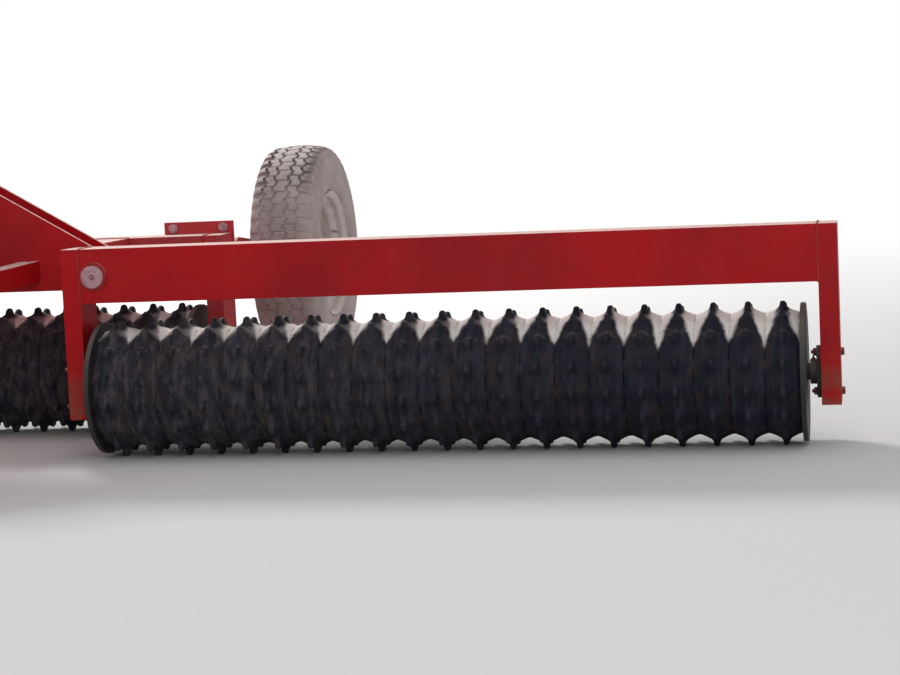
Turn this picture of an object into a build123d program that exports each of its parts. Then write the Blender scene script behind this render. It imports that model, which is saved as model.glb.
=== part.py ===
"""Trailed land roller with three gangs of lugged rings, in millimetres.

X runs across the machine, -Y is the direction of travel and Z is up from the ground.
The right-hand pieces are modelled and the left-hand ones are their mirror images.
"""

import os
from math import atan2, cos, degrees, hypot, radians, sin, sqrt, tan

from build123d import *

os.makedirs("parts", exist_ok=True)

# Rings and their gangs
RING_PITCH = 125.0
WING_RINGS = 21
CENTRE_RINGS = 16
LUGS = 15
TIP_R = 262.0
RIM_EDGE_R = 218.0
RIM_RIDGE_R = 234.0
RING_BORE_R = 203.0
LUG_THICK = 38.0
END_DISC_R = 251.0
END_DISC_T = 18.0
SHAFT_R = 30.0
RUNNING_FIT = 0.06

# Legs, beams and the bearings between leg and end disc
DISC_TO_LEG = 50.0
LEG_W = 70.0
BEAM_H = 206.0
BEAM_D = 170.0
BEAM_TOP = 800.0
TUBE_WALL = 8.0
LEG_FOOT_Z = 150.0
BEARING_NECK_R = 45.0
BEARING_FLANGE_T = 16.0
BEARING_FLANGE_W = 100.0
BEARING_FLANGE_H = 190.0
SHAFT_END_GAP = 2.0
BEARING_DISC_GAP = 10.0

# Where the wings fold, and the two headstock plates that carry them
INNER_LEG_X = 718.0
PIN_FROM_LEG = 126.0
PIN_Z = 695.0
PIN_R = 30.0
PIN_HEAD_R = 43.0
PIN_HEAD_T = 14.0
PIVOT_BOSS_R = 55.0
PIVOT_BOSS_PROUD = 4.0
WING_TO_PLATE = 12.0
PLATE_T = 15.0
PLATE_GAP = 125.0
PLATE_NOSE_R = 57.0
PLATE_SLOPE = 30.4
PLATE_TOP_Z = 1070.0
PIN_COLLAR_R = 50.0
PIN_COLLAR_T = 20.0
CROSS_TUBE_X = 400.0
CROSS_TUBE_H = 120.0

# Centre frame behind the headstock
GANG_STAGGER = 700.0
SIDE_ARM_X = 600.0
SIDE_ARM_W = 150.0
SIDE_ARM_H = 160.0

# Fold cylinders, each between the plates
FOLD_BASE_X = 280.0
FOLD_BASE_Z = 985.0
FOLD_LEVER_R = 150.0
FOLD_LEVER_ANGLE = 200.0
FOLD_HUB_R = 48.0
FOLD_BARREL_R = 54.0
FOLD_BARREL_LENGTH = 430.0
FOLD_ROD_R = 25.0
FOLD_ROD_LENGTH = 395.0

# Things that both kinds of cylinder share
BASE_PIN_R = 20.0
EYE_R = 34.0
EYE_NECK = 62.0
EYE_W = 56.0
FORK_CLEAR = 2.0
FORK_PLATE_T = 18.0
SIDE_CLEAR = 1.0
PIN_END_PROUD = 8.0
BORE_SPARE = 22.0

# Transport axle behind the centre beam
AXLE_BEHIND_BEAM = 100.0
AXLE_Z = 700.0
AXLE_TUBE_R = 57.0
ARM_LENGTH = 500.0
WHEEL_Z = 665.0
ARM_T = 50.0
ARM_H = 110.0
ARM_ROOT_R = 75.0
LUG_TO_ARM = 10.0
BRACKET_X = 850.0
BRACKET_W = 295.0
BRACKET_TOP_Z = 850.0
BRACKET_LUG_INSET = 65.0
BRACKET_LUG_R = 82.0
BRACKET_LUG_T = 15.0
BRACKET_FOOT_Z = 550.0
STUB_R = 30.0
STUB_LENGTH = 227.0

# Wheels
TYRE_R = 475.0
TYRE_W = 285.0
TYRE_BEAD_R = 258.0
TYRE_WALL = 16.0
TYRE_BEAD_X = 105.0
TYRE_BULGE_R = 320.0
TYRE_SHOULDER_X = 128.0
TYRE_SHOULDER_R = 440.0
TYRE_CROWN_X = 85.0
TYRE_DISH_R = 308.0
TYRE_CAVITY_X = 98.0
TYRE_SIDES = 48
WHEEL_X = 1295.0
RIM_WALL = 10.0
RIM_FLANGE_X = 117.0
RIM_FLANGE_R = 272.0
RIM_SEAT_X = 82.0
RIM_WELL_X = 62.0
RIM_WELL_R = 228.0
RIM_DISC_X = 20.0
RIM_DISC_T = 12.0
HAND_HOLES = 5
HAND_HOLE_R = 24.0
HAND_HOLE_AT = 158.0
HUB_R = 62.0
HUB_W = 130.0

# Lift cylinder from the rear plate to the lever on the axle
LIFT_BASE_BEHIND = 60.0
LIFT_BASE_Z = 900.0
LIFT_LEVER_R = 200.0
LIFT_LEVER_ANGLE = 105.0
LIFT_BARREL_R = 45.0
LIFT_BARREL_LENGTH = 400.0
LIFT_ROD_R = 22.0
LIFT_ROD_LENGTH = 385.0

# Drawbar, hitch eye and parking jack
HITCH_REACH = 2700.0
HITCH_Z = 500.0
HITCH_BORE_R = 25.5
HITCH_EYE_R = 60.0
HITCH_EYE_H = 40.0
HITCH_SHANK_W = 60.0
HITCH_PLATE_T = 20.0
HITCH_PLATE_W = 180.0
DRAWBAR_END = 2480.0
DRAWBAR_W = 140.0
DRAWBAR_Z = 710.0
BRACE_X = 520.0
BRACE_W = 80.0
BRACE_REACH = 1400.0
BRACE_SPARE = 240.0
JACK_REACH = 1900.0
JACK_TUBE_W = 80.0
JACK_TUBE_WALL = 6.0
JACK_TUBE_FOOT = 345.0
JACK_TUBE_TOP = 800.0
JACK_STAND_OFF = 30.0
JACK_BRACKET_H = 110.0
JACK_LEG_CLEAR = 0.4
JACK_LEG_LENGTH = 440.0
JACK_FOOT_W = 200.0
JACK_FOOT_T = 12.0

# Places that follow from the sizes above
AXLE_LINE_Z = TIP_R
LENGTH_BEHIND = GANG_STAGGER + BEAM_D / 2 + AXLE_BEHIND_BEAM + sqrt(ARM_LENGTH**2 - (AXLE_Z - WHEEL_Z) ** 2)
WING_Y = (HITCH_REACH + HITCH_EYE_R - LENGTH_BEHIND - TYRE_R) / 2
CENTRE_Y = WING_Y + GANG_STAGGER
WHEEL_Y = WING_Y + LENGTH_BEHIND
AXLE_Y = CENTRE_Y + BEAM_D / 2 + AXLE_BEHIND_BEAM
HITCH_Y = WING_Y - HITCH_REACH
PIN_X = INNER_LEG_X + PIN_FROM_LEG
FRONT_PLATE_Y = WING_Y + BEAM_D / 2 + WING_TO_PLATE
GAP_Y = FRONT_PLATE_Y + PLATE_T
REAR_PLATE_Y = GAP_Y + PLATE_GAP
HEADSTOCK_BACK_Y = REAR_PLATE_Y + PLATE_T
GAP_MID_Y = GAP_Y + PLATE_GAP / 2
WING_DRUM_L = WING_RINGS * RING_PITCH
CENTRE_DRUM_L = CENTRE_RINGS * RING_PITCH
WING_LEG_FACE = WING_DRUM_L / 2 + END_DISC_T + DISC_TO_LEG
CENTRE_LEG_FACE = CENTRE_DRUM_L / 2 + END_DISC_T + DISC_TO_LEG
WING_X = INNER_LEG_X + LEG_W + WING_LEG_FACE
ARM_X = BRACKET_X + BRACKET_W - BRACKET_LUG_INSET + LUG_TO_ARM

right_hand = {}


def save(piece, name):
    """Label one finished sub-part and write it to its own file."""
    piece.part.label = name
    export_step(piece.part, f"parts/{name}.step")


def save_pair(piece, name):
    """Keep a right-hand sub-part, so that its left-hand twin is mirrored at the end."""
    right_hand[name] = piece.part
    save(piece, f"{name}_right")


def seen_from_front(back_y):
    """Plane with X to the right and Z up, whose extrusions come forward from back_y."""
    return Plane(origin=(0, back_y, 0), x_dir=(1, 0, 0), z_dir=(0, -1, 0))


def seen_from_right(x):
    """Plane with Y to the right and Z up, whose extrusions go outwards to the right from x."""
    return Plane.YZ.offset(x)


# One ring: a rim with a low ridge, and lugs that stand as wedges across its whole width
half_lug = LUG_THICK / 2
lug_pitch = 360 / LUGS


def rim_outline(radius):
    """Corners of the rim where the lugs' faces cross it at this radius, one lug straight down."""
    half_angle = degrees(atan2(half_lug, sqrt(radius**2 - half_lug**2)))
    turns = [lug * lug_pitch + side * half_angle - 90 for lug in range(LUGS) for side in (-1, 1)]
    return [(radius * cos(radians(turn)), radius * sin(radians(turn))) for turn in turns]


with BuildPart() as ring:
    for x, radius in ((-RING_PITCH / 2, RIM_EDGE_R), (0, RIM_RIDGE_R), (RING_PITCH / 2, RIM_EDGE_R)):
        with BuildSketch(Plane.YZ.offset(x)):
            Polygon(*rim_outline(radius), align=None)
    loft(ruled=True)
    rim_at_lug = sqrt(RIM_EDGE_R**2 - half_lug**2)
    for lug in range(LUGS):
        turn = radians(lug * lug_pitch - 90)
        radial_plane = Plane(origin=(0, 0, 0), x_dir=(1, 0, 0), z_dir=(0, -sin(turn), cos(turn)))
        with BuildSketch(radial_plane):
            Polygon(
                (-RING_PITCH / 2, RING_BORE_R),
                (RING_PITCH / 2, RING_BORE_R),
                (RING_PITCH / 2, rim_at_lug),
                (0, TIP_R),
                (-RING_PITCH / 2, rim_at_lug),
                align=None,
            )
        extrude(amount=half_lug, both=True)
    with BuildSketch(Plane.YZ.offset(-RING_PITCH / 2)):
        RegularPolygon(RING_BORE_R, LUGS)
    extrude(amount=RING_PITCH, mode=Mode.SUBTRACT)


def make_gang(name, x, y, rings, drum_length, leg_face):
    """One gang: its rings side by side, and the shaft with the end disc that closes each end."""
    with BuildPart() as gang_rings:
        with Locations((x, y, AXLE_LINE_Z)), GridLocations(RING_PITCH, 0, rings, 1):
            add(ring.part)
    save(gang_rings, f"rings_{name}")

    shaft_length = 2 * (leg_face - SHAFT_END_GAP)
    with BuildPart() as gang_shaft:
        with BuildSketch(Plane.YZ.offset(x - shaft_length / 2)):
            with Locations((y, AXLE_LINE_Z)):
                Circle(SHAFT_R)
        extrude(amount=shaft_length)
        for disc_x in (x - drum_length / 2 - END_DISC_T, x + drum_length / 2):
            with BuildSketch(Plane.YZ.offset(disc_x)):
                with Locations((y, AXLE_LINE_Z)):
                    Circle(END_DISC_R)
            extrude(amount=END_DISC_T)
    save(gang_shaft, f"shaft_{name}")


make_gang("right", WING_X, WING_Y, WING_RINGS, WING_DRUM_L, WING_LEG_FACE)
make_gang("left", -WING_X, WING_Y, WING_RINGS, WING_DRUM_L, WING_LEG_FACE)
make_gang("centre", 0, CENTRE_Y, CENTRE_RINGS, CENTRE_DRUM_L, CENTRE_LEG_FACE)


def make_leg(low_x, y, name):
    """Box-section leg, closed on top and open at its foot."""
    with BuildPart() as leg:
        with BuildSketch(Plane.XY.offset(LEG_FOOT_Z)):
            with Locations((low_x + LEG_W / 2, y)):
                Rectangle(LEG_W, BEAM_D)
        extrude(amount=BEAM_TOP - LEG_FOOT_Z)
        with BuildSketch(Plane.XY.offset(LEG_FOOT_Z)):
            with Locations((low_x + LEG_W / 2, y)):
                Rectangle(LEG_W - 2 * TUBE_WALL, BEAM_D - 2 * TUBE_WALL)
        extrude(amount=BEAM_TOP - LEG_FOOT_Z - TUBE_WALL, mode=Mode.SUBTRACT)
    save_pair(leg, name)


def make_bearing(leg_face_x, inwards, y, name):
    """Flange bearing on a leg's face, its neck pointing at the end disc."""
    neck_length = DISC_TO_LEG - BEARING_DISC_GAP
    with BuildPart() as bearing:
        with BuildSketch(Plane.YZ.offset(leg_face_x)):
            with Locations((y, AXLE_LINE_Z)):
                SlotOverall(BEARING_FLANGE_H, BEARING_FLANGE_W, rotation=90)
        extrude(amount=inwards * BEARING_FLANGE_T)
        with BuildSketch(Plane.YZ.offset(leg_face_x)):
            with Locations((y, AXLE_LINE_Z)):
                Circle(BEARING_NECK_R)
        extrude(amount=inwards * neck_length)
        with BuildSketch(Plane.YZ.offset(leg_face_x)):
            with Locations((y, AXLE_LINE_Z)):
                Circle(SHAFT_R + RUNNING_FIT)
        extrude(amount=inwards * neck_length, mode=Mode.SUBTRACT)
    save_pair(bearing, name)


make_leg(INNER_LEG_X, WING_Y, "leg_inner")
make_leg(WING_X + WING_LEG_FACE, WING_Y, "leg_outer")
make_leg(CENTRE_LEG_FACE, CENTRE_Y, "leg_centre")
make_bearing(INNER_LEG_X + LEG_W, 1, WING_Y, "bearing_inner")
make_bearing(WING_X + WING_LEG_FACE, -1, WING_Y, "bearing_outer")
make_bearing(CENTRE_LEG_FACE, -1, CENTRE_Y, "bearing_centre")

# Wing beam, with the boss that the fold pin goes through
boss_front = WING_Y - BEAM_D / 2 - PIVOT_BOSS_PROUD
boss_back = FRONT_PLATE_Y - SIDE_CLEAR
with BuildPart() as wing_beam:
    with BuildSketch(Plane.YZ.offset(WING_X - WING_LEG_FACE)):
        with Locations((WING_Y, BEAM_TOP - BEAM_H / 2)):
            Rectangle(BEAM_D, BEAM_H)
            Rectangle(BEAM_D - 2 * TUBE_WALL, BEAM_H - 2 * TUBE_WALL, mode=Mode.SUBTRACT)
    extrude(amount=2 * WING_LEG_FACE)
    with BuildSketch(seen_from_front(boss_back)):
        with Locations((PIN_X, PIN_Z)):
            Circle(PIVOT_BOSS_R)
    extrude(amount=boss_back - boss_front)
    with BuildSketch(seen_from_front(boss_back)):
        with Locations((PIN_X, PIN_Z)):
            Circle(PIN_R + RUNNING_FIT)
    extrude(amount=boss_back - boss_front, mode=Mode.SUBTRACT)
save_pair(wing_beam, "wing_beam")

# Fold pin: a head in front of the boss, and a collar behind the rear headstock plate
collar_back = HEADSTOCK_BACK_Y + SIDE_CLEAR + PIN_COLLAR_T
with BuildPart() as fold_pin:
    for back, length, radius in (
        (collar_back, collar_back - boss_front, PIN_R),
        (boss_front, PIN_HEAD_T, PIN_HEAD_R),
        (collar_back, PIN_COLLAR_T, PIN_COLLAR_R),
    ):
        with BuildSketch(seen_from_front(back)):
            with Locations((PIN_X, PIN_Z)):
                Circle(radius)
        extrude(amount=length)
save_pair(fold_pin, "fold_pin")

# Fold lever on the pin between the plates: a hub, two fork plates and the two ends of the rod's pin
lever_turn = radians(FOLD_LEVER_ANGLE)
fold_eye = (PIN_X + FOLD_LEVER_R * cos(lever_turn), PIN_Z + FOLD_LEVER_R * sin(lever_turn))
fork_inside = EYE_W / 2 + FORK_CLEAR
fork_outside = fork_inside + FORK_PLATE_T
pin_outside = fork_outside + PIN_END_PROUD
hub_back = REAR_PLATE_Y - SIDE_CLEAR
with BuildPart() as fold_lever:
    with BuildSketch(seen_from_front(hub_back)):
        with Locations((PIN_X, PIN_Z)):
            Circle(FOLD_HUB_R)
    extrude(amount=PLATE_GAP - 2 * SIDE_CLEAR)
    for side in (-1, 1):
        with BuildSketch(seen_from_front(GAP_MID_Y + side * fork_inside)):
            with Locations((PIN_X, PIN_Z)):
                Circle(FOLD_HUB_R)
            with Locations(fold_eye):
                Circle(EYE_R)
            make_hull()
        extrude(amount=-side * FORK_PLATE_T)
        with BuildSketch(seen_from_front(GAP_MID_Y + side * fork_inside)):
            with Locations(fold_eye):
                Circle(BASE_PIN_R)
        extrude(amount=-side * (pin_outside - fork_inside))
    with BuildSketch(seen_from_front(hub_back)):
        with Locations((PIN_X, PIN_Z)):
            Circle(PIN_R + RUNNING_FIT)
    extrude(amount=PLATE_GAP - 2 * SIDE_CLEAR, mode=Mode.SUBTRACT)
save_pair(fold_lever, "fold_lever")

# Headstock: two plates whose noses go round the fold pins, rising to the middle
slope = radians(PLATE_SLOPE)
nose_top = (PIN_X + PLATE_NOSE_R * sin(slope), PIN_Z + PLATE_NOSE_R * cos(slope))
shoulder_x = nose_top[0] - (PLATE_TOP_Z - nose_top[1]) / tan(slope)
plate_foot_z = PIN_Z - PLATE_NOSE_R
for name, back in (("headstock_front", GAP_Y), ("headstock_rear", HEADSTOCK_BACK_Y)):
    with BuildPart() as headstock:
        with BuildSketch(seen_from_front(back)):
            with BuildLine():
                Line((0, plate_foot_z), (PIN_X, plate_foot_z))
                CenterArc((PIN_X, PIN_Z), PLATE_NOSE_R, -90, 180 - PLATE_SLOPE)
                Polyline(nose_top, (shoulder_x, PLATE_TOP_Z), (0, PLATE_TOP_Z))
                mirror(about=Plane.YZ)
            make_face()
            with Locations((PIN_X, PIN_Z), (-PIN_X, PIN_Z)):
                Circle(PIN_R + RUNNING_FIT, mode=Mode.SUBTRACT)
            with Locations((FOLD_BASE_X, FOLD_BASE_Z), (-FOLD_BASE_X, FOLD_BASE_Z)):
                Circle(BASE_PIN_R + RUNNING_FIT, mode=Mode.SUBTRACT)
        extrude(amount=PLATE_T)
    save(headstock, name)

with BuildPart() as cross_tube:
    with BuildSketch(Plane.YZ.offset(-CROSS_TUBE_X)):
        with Locations((GAP_MID_Y, plate_foot_z + CROSS_TUBE_H / 2)):
            Rectangle(PLATE_GAP, CROSS_TUBE_H)
            Rectangle(PLATE_GAP - 2 * TUBE_WALL, CROSS_TUBE_H - 2 * TUBE_WALL, mode=Mode.SUBTRACT)
    extrude(amount=2 * CROSS_TUBE_X)
save(cross_tube, "headstock_tube")

base_pin_back = GAP_MID_Y + PLATE_GAP / 2 + PLATE_T + PIN_END_PROUD
with BuildPart() as fold_base_pins:
    with BuildSketch(seen_from_front(base_pin_back)):
        with Locations((FOLD_BASE_X, FOLD_BASE_Z), (-FOLD_BASE_X, FOLD_BASE_Z)):
            Circle(BASE_PIN_R)
    extrude(amount=PLATE_GAP + 2 * (PLATE_T + PIN_END_PROUD))
save(fold_base_pins, "fold_base_pins")

# Lugs behind the rear plate for the lift cylinder, with their pin
lift_base_y = HEADSTOCK_BACK_Y + LIFT_BASE_BEHIND
with BuildPart() as lift_base:
    for side in (-1, 1):
        with BuildSketch(seen_from_right(side * fork_inside)):
            with Locations((lift_base_y, LIFT_BASE_Z)):
                Circle(EYE_R)
            with Locations(((HEADSTOCK_BACK_Y + lift_base_y) / 2, LIFT_BASE_Z)):
                Rectangle(LIFT_BASE_BEHIND, 2 * EYE_R)
        extrude(amount=side * FORK_PLATE_T)
    with BuildSketch(seen_from_right(-pin_outside)):
        with Locations((lift_base_y, LIFT_BASE_Z)):
            Circle(BASE_PIN_R)
    extrude(amount=2 * pin_outside)
save(lift_base, "lift_base")

# Centre frame: side arms and beam
centre_beam_front = CENTRE_Y - BEAM_D / 2
centre_beam_back = CENTRE_Y + BEAM_D / 2
with BuildPart() as side_arm:
    with BuildSketch(seen_from_front(centre_beam_front)):
        with Locations((SIDE_ARM_X + SIDE_ARM_W / 2, BEAM_TOP - SIDE_ARM_H / 2)):
            Rectangle(SIDE_ARM_W, SIDE_ARM_H)
            Rectangle(SIDE_ARM_W - 2 * TUBE_WALL, SIDE_ARM_H - 2 * TUBE_WALL, mode=Mode.SUBTRACT)
    extrude(amount=centre_beam_front - HEADSTOCK_BACK_Y)
save_pair(side_arm, "side_arm")

with BuildPart() as centre_beam:
    with BuildSketch(Plane.YZ.offset(-CENTRE_LEG_FACE)):
        with Locations((CENTRE_Y, BEAM_TOP - BEAM_H / 2)):
            Rectangle(BEAM_D, BEAM_H)
            Rectangle(BEAM_D - 2 * TUBE_WALL, BEAM_H - 2 * TUBE_WALL, mode=Mode.SUBTRACT)
    extrude(amount=2 * CENTRE_LEG_FACE)
save(centre_beam, "centre_beam")

# Brackets behind the centre beam: a bolted plate and two lugs that the axle tube turns in
with BuildPart() as axle_bracket:
    with BuildSketch(seen_from_front(centre_beam_back + PLATE_T)):
        with Locations((BRACKET_X + BRACKET_W / 2, (BRACKET_FOOT_Z + BRACKET_TOP_Z) / 2)):
            Rectangle(BRACKET_W, BRACKET_TOP_Z - BRACKET_FOOT_Z)
    extrude(amount=PLATE_T)
    lug_root = centre_beam_back + PLATE_T
    for lug_x in (
        BRACKET_X + BRACKET_LUG_INSET,
        BRACKET_X + BRACKET_W - BRACKET_LUG_INSET - BRACKET_LUG_T,
    ):
        with BuildSketch(seen_from_right(lug_x)):
            with Locations((AXLE_Y, AXLE_Z)):
                Circle(BRACKET_LUG_R)
            with Locations(((lug_root + AXLE_Y) / 2, AXLE_Z)):
                Rectangle(AXLE_Y - lug_root, 2 * BRACKET_LUG_R)
            with Locations((AXLE_Y, AXLE_Z)):
                Circle(AXLE_TUBE_R + RUNNING_FIT, mode=Mode.SUBTRACT)
        extrude(amount=BRACKET_LUG_T)
save_pair(axle_bracket, "axle_bracket")

# Transport axle: the tube with its lift lever, then an arm and stub for each wheel
lift_turn = radians(LIFT_LEVER_ANGLE)
lift_eye = (AXLE_Y + LIFT_LEVER_R * cos(lift_turn), AXLE_Z + LIFT_LEVER_R * sin(lift_turn))
with BuildPart() as axle_tube:
    with BuildSketch(seen_from_right(-ARM_X)):
        with Locations((AXLE_Y, AXLE_Z)):
            Circle(AXLE_TUBE_R)
    extrude(amount=2 * ARM_X)
    for side in (-1, 1):
        with BuildSketch(seen_from_right(side * fork_inside)):
            with Locations((AXLE_Y, AXLE_Z)):
                Circle(BRACKET_LUG_R)
            with Locations(lift_eye):
                Circle(EYE_R)
            make_hull()
        extrude(amount=side * FORK_PLATE_T)
        with BuildSketch(seen_from_right(side * fork_inside)):
            with Locations(lift_eye):
                Circle(BASE_PIN_R)
        extrude(amount=side * (pin_outside - fork_inside))
    with BuildSketch(seen_from_right(-ARM_X)):
        with Locations((AXLE_Y, AXLE_Z)):
            Circle(AXLE_TUBE_R - TUBE_WALL)
    extrude(amount=2 * ARM_X, mode=Mode.SUBTRACT)
save(axle_tube, "axle_tube")

with BuildPart() as axle_arm:
    with BuildSketch(seen_from_right(ARM_X)):
        with Locations((AXLE_Y, AXLE_Z)):
            Circle(ARM_ROOT_R)
        with Locations((WHEEL_Y, WHEEL_Z)):
            Circle(ARM_H / 2)
        make_hull()
    extrude(amount=ARM_T)
    with BuildSketch(seen_from_right(ARM_X + ARM_T)):
        with Locations((WHEEL_Y, WHEEL_Z)):
            Circle(STUB_R)
    extrude(amount=STUB_LENGTH)
save_pair(axle_arm, "axle_arm")

# Wheel: a many-sided hollow tyre whose sides dish in to its beads, and a rim with its disc and hub
tyre_outside = [(TYRE_CROWN_X, TYRE_R), (TYRE_SHOULDER_X, TYRE_SHOULDER_R), (TYRE_W / 2, TYRE_BULGE_R)]
tyre_inside = [(TYRE_CROWN_X - TYRE_WALL, TYRE_R - TYRE_WALL), (TYRE_CAVITY_X, TYRE_SHOULDER_R - TYRE_WALL)]
with BuildPart() as tyre:
    for right_side, mode in ((tyre_outside, Mode.ADD), (tyre_inside, Mode.SUBTRACT)):
        for x, radius in [(-x, radius) for x, radius in reversed(right_side)] + right_side:
            with BuildSketch(Plane.YZ.offset(x)):
                RegularPolygon(radius, TYRE_SIDES)
        loft(ruled=True, mode=mode)
    for side in (-1, 1):
        for x, radius in ((TYRE_BEAD_X, TYRE_BEAD_R), (TYRE_W / 2, TYRE_DISH_R)):
            with BuildSketch(Plane.YZ.offset(side * x)):
                RegularPolygon(radius, TYRE_SIDES, major_radius=False)
        loft(ruled=True, mode=Mode.SUBTRACT)
    with BuildSketch(Plane.YZ.offset(-TYRE_W / 2)):
        Circle(TYRE_BEAD_R)
    extrude(amount=TYRE_W, mode=Mode.SUBTRACT)
tyre.part.locate(Location((WHEEL_X, WHEEL_Y, WHEEL_Z)))
save_pair(tyre, "tyre")

# Its flanges lie along the tyre's dished sides, and the tyre is fitted over the well between its seats
rim_right_side = [
    (RIM_WELL_X, RIM_WELL_R),
    (RIM_SEAT_X, TYRE_BEAD_R),
    (TYRE_BEAD_X, TYRE_BEAD_R),
    (RIM_FLANGE_X, RIM_FLANGE_R),
]
with BuildPart() as rim:
    with BuildSketch(Plane.XY):
        with BuildLine():
            rim_across = Polyline(*[(-x, radius) for x, radius in reversed(rim_right_side)], *rim_right_side)
            offset(amount=RIM_WALL, side=Side.RIGHT)
        make_face()
        with Locations((RIM_DISC_X, (HUB_R + RIM_WELL_R - RIM_WALL) / 2)):
            Rectangle(RIM_DISC_T, RIM_WELL_R - RIM_WALL - HUB_R + RIM_DISC_T)
        with Locations((0, (STUB_R + RUNNING_FIT + HUB_R) / 2)):
            Rectangle(HUB_W, HUB_R - STUB_R - RUNNING_FIT)
    revolve(axis=Axis.X)
    with BuildSketch(Plane.YZ.offset(RIM_DISC_X - RIM_DISC_T)):
        with PolarLocations(HAND_HOLE_AT, HAND_HOLES):
            Circle(HAND_HOLE_R)
    extrude(amount=2 * RIM_DISC_T, mode=Mode.SUBTRACT)
rim.part.locate(Location((WHEEL_X, WHEEL_Y, WHEEL_Z)))
save_pair(rim, "rim")


def make_cylinder(base, eye, eye_plane, barrel_r, barrel_length, rod_r, rod_length):
    """Hydraulic cylinder between two pins: a barrel on its base pin and a rod that slides in it."""
    reach = hypot(eye[0] - base[0], eye[1] - base[1])
    along = Plane(
        origin=eye_plane.from_local_coords((base[0], base[1], 0)),
        x_dir=eye_plane.z_dir,
        z_dir=eye_plane.from_local_coords((eye[0], eye[1], 0)) - eye_plane.from_local_coords((base[0], base[1], 0)),
    )
    neck = tuple(end + (tip - end) * EYE_NECK / reach for end, tip in zip(base, eye))
    with BuildPart() as barrel:
        with BuildSketch(along.offset(EYE_NECK)):
            Circle(barrel_r)
        extrude(amount=barrel_length - EYE_NECK)
        with BuildSketch(eye_plane.offset(-EYE_W / 2)):
            with Locations(base, neck):
                Circle(EYE_R)
            make_hull()
        extrude(amount=EYE_W)
        with BuildSketch(eye_plane.offset(-barrel_r)):
            with Locations(base):
                Circle(BASE_PIN_R + RUNNING_FIT)
        extrude(amount=2 * barrel_r, mode=Mode.SUBTRACT)
        with BuildSketch(along.offset(reach - rod_length - BORE_SPARE)):
            Circle(rod_r + RUNNING_FIT)
        extrude(amount=barrel_length, mode=Mode.SUBTRACT)
    with BuildPart() as rod:
        with BuildSketch(along.offset(reach - rod_length)):
            Circle(rod_r)
        extrude(amount=rod_length)
        with BuildSketch(eye_plane.offset(-EYE_W / 2)):
            with Locations(eye):
                Circle(EYE_R)
        extrude(amount=EYE_W)
    return barrel, rod


fold_plane = seen_from_front(GAP_MID_Y)
fold_base = (FOLD_BASE_X, FOLD_BASE_Z)
barrel, rod = make_cylinder(
    fold_base, fold_eye, fold_plane, FOLD_BARREL_R, FOLD_BARREL_LENGTH, FOLD_ROD_R, FOLD_ROD_LENGTH
)
save_pair(barrel, "fold_barrel")
save_pair(rod, "fold_rod")

lift_base_point = (lift_base_y, LIFT_BASE_Z)
barrel, rod = make_cylinder(
    lift_base_point, lift_eye, Plane.YZ, LIFT_BARREL_R, LIFT_BARREL_LENGTH, LIFT_ROD_R, LIFT_ROD_LENGTH
)
save(barrel, "lift_barrel")
save(rod, "lift_rod")

# Drawbar: a box beam that slopes down to the hitch, cut upright at both ends
drawbar_end_y = WING_Y - DRAWBAR_END
with BuildPart() as drawbar:
    for width, height, mode in (
        (DRAWBAR_W, DRAWBAR_W, Mode.ADD),
        (DRAWBAR_W - 2 * TUBE_WALL, DRAWBAR_W - 2 * TUBE_WALL, Mode.SUBTRACT),
    ):
        with BuildSketch(Plane.YZ):
            Polygon(
                (FRONT_PLATE_Y, DRAWBAR_Z - height / 2),
                (FRONT_PLATE_Y, DRAWBAR_Z + height / 2),
                (drawbar_end_y, HITCH_Z + height / 2),
                (drawbar_end_y, HITCH_Z - height / 2),
                align=None,
            )
        extrude(amount=width / 2, both=True, mode=mode)
save(drawbar, "drawbar")

with BuildPart() as hitch_eye:
    with BuildSketch(seen_from_front(drawbar_end_y)):
        with Locations((0, HITCH_Z)):
            Rectangle(HITCH_PLATE_W, HITCH_PLATE_W)
    extrude(amount=HITCH_PLATE_T)
    shank_back = drawbar_end_y - HITCH_PLATE_T
    with BuildSketch(Plane.XY.offset(HITCH_Z - HITCH_EYE_H / 2)):
        with Locations((0, HITCH_Y)):
            Circle(HITCH_EYE_R)
        with Locations((0, (shank_back + HITCH_Y) / 2)):
            Rectangle(HITCH_SHANK_W, shank_back - HITCH_Y)
        with Locations((0, HITCH_Y)):
            Circle(HITCH_BORE_R, mode=Mode.SUBTRACT)
    extrude(amount=HITCH_EYE_H)
save(hitch_eye, "hitch_eye")


def drawbar_z(y):
    """Height of the drawbar's centre line at this place along it."""
    share = (FRONT_PLATE_Y - y) / (FRONT_PLATE_Y - drawbar_end_y)
    return DRAWBAR_Z + share * (HITCH_Z - DRAWBAR_Z)


# Braces from the headstock to the drawbar's sides
brace_y = WING_Y - BRACE_REACH
brace_start = Vector(BRACE_X, FRONT_PLATE_Y, DRAWBAR_Z)
brace_run = Vector(DRAWBAR_W / 2, brace_y, drawbar_z(brace_y)) - brace_start
brace_plane = Plane(origin=brace_start, x_dir=(brace_run.Y, -brace_run.X, 0), z_dir=brace_run)
with BuildPart() as brace:
    with BuildSketch(brace_plane.offset(-BRACE_SPARE)):
        Rectangle(BRACE_W, BRACE_W)
        Rectangle(BRACE_W - 2 * TUBE_WALL, BRACE_W - 2 * TUBE_WALL, mode=Mode.SUBTRACT)
    extrude(amount=brace_run.length + 2 * BRACE_SPARE)
    split(bisect_by=Plane(origin=(0, FRONT_PLATE_Y, 0), z_dir=(0, -1, 0)), keep=Keep.TOP)
    split(bisect_by=Plane(origin=(DRAWBAR_W / 2, 0, 0), z_dir=(1, 0, 0)), keep=Keep.TOP)
save_pair(brace, "drawbar_brace")

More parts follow.
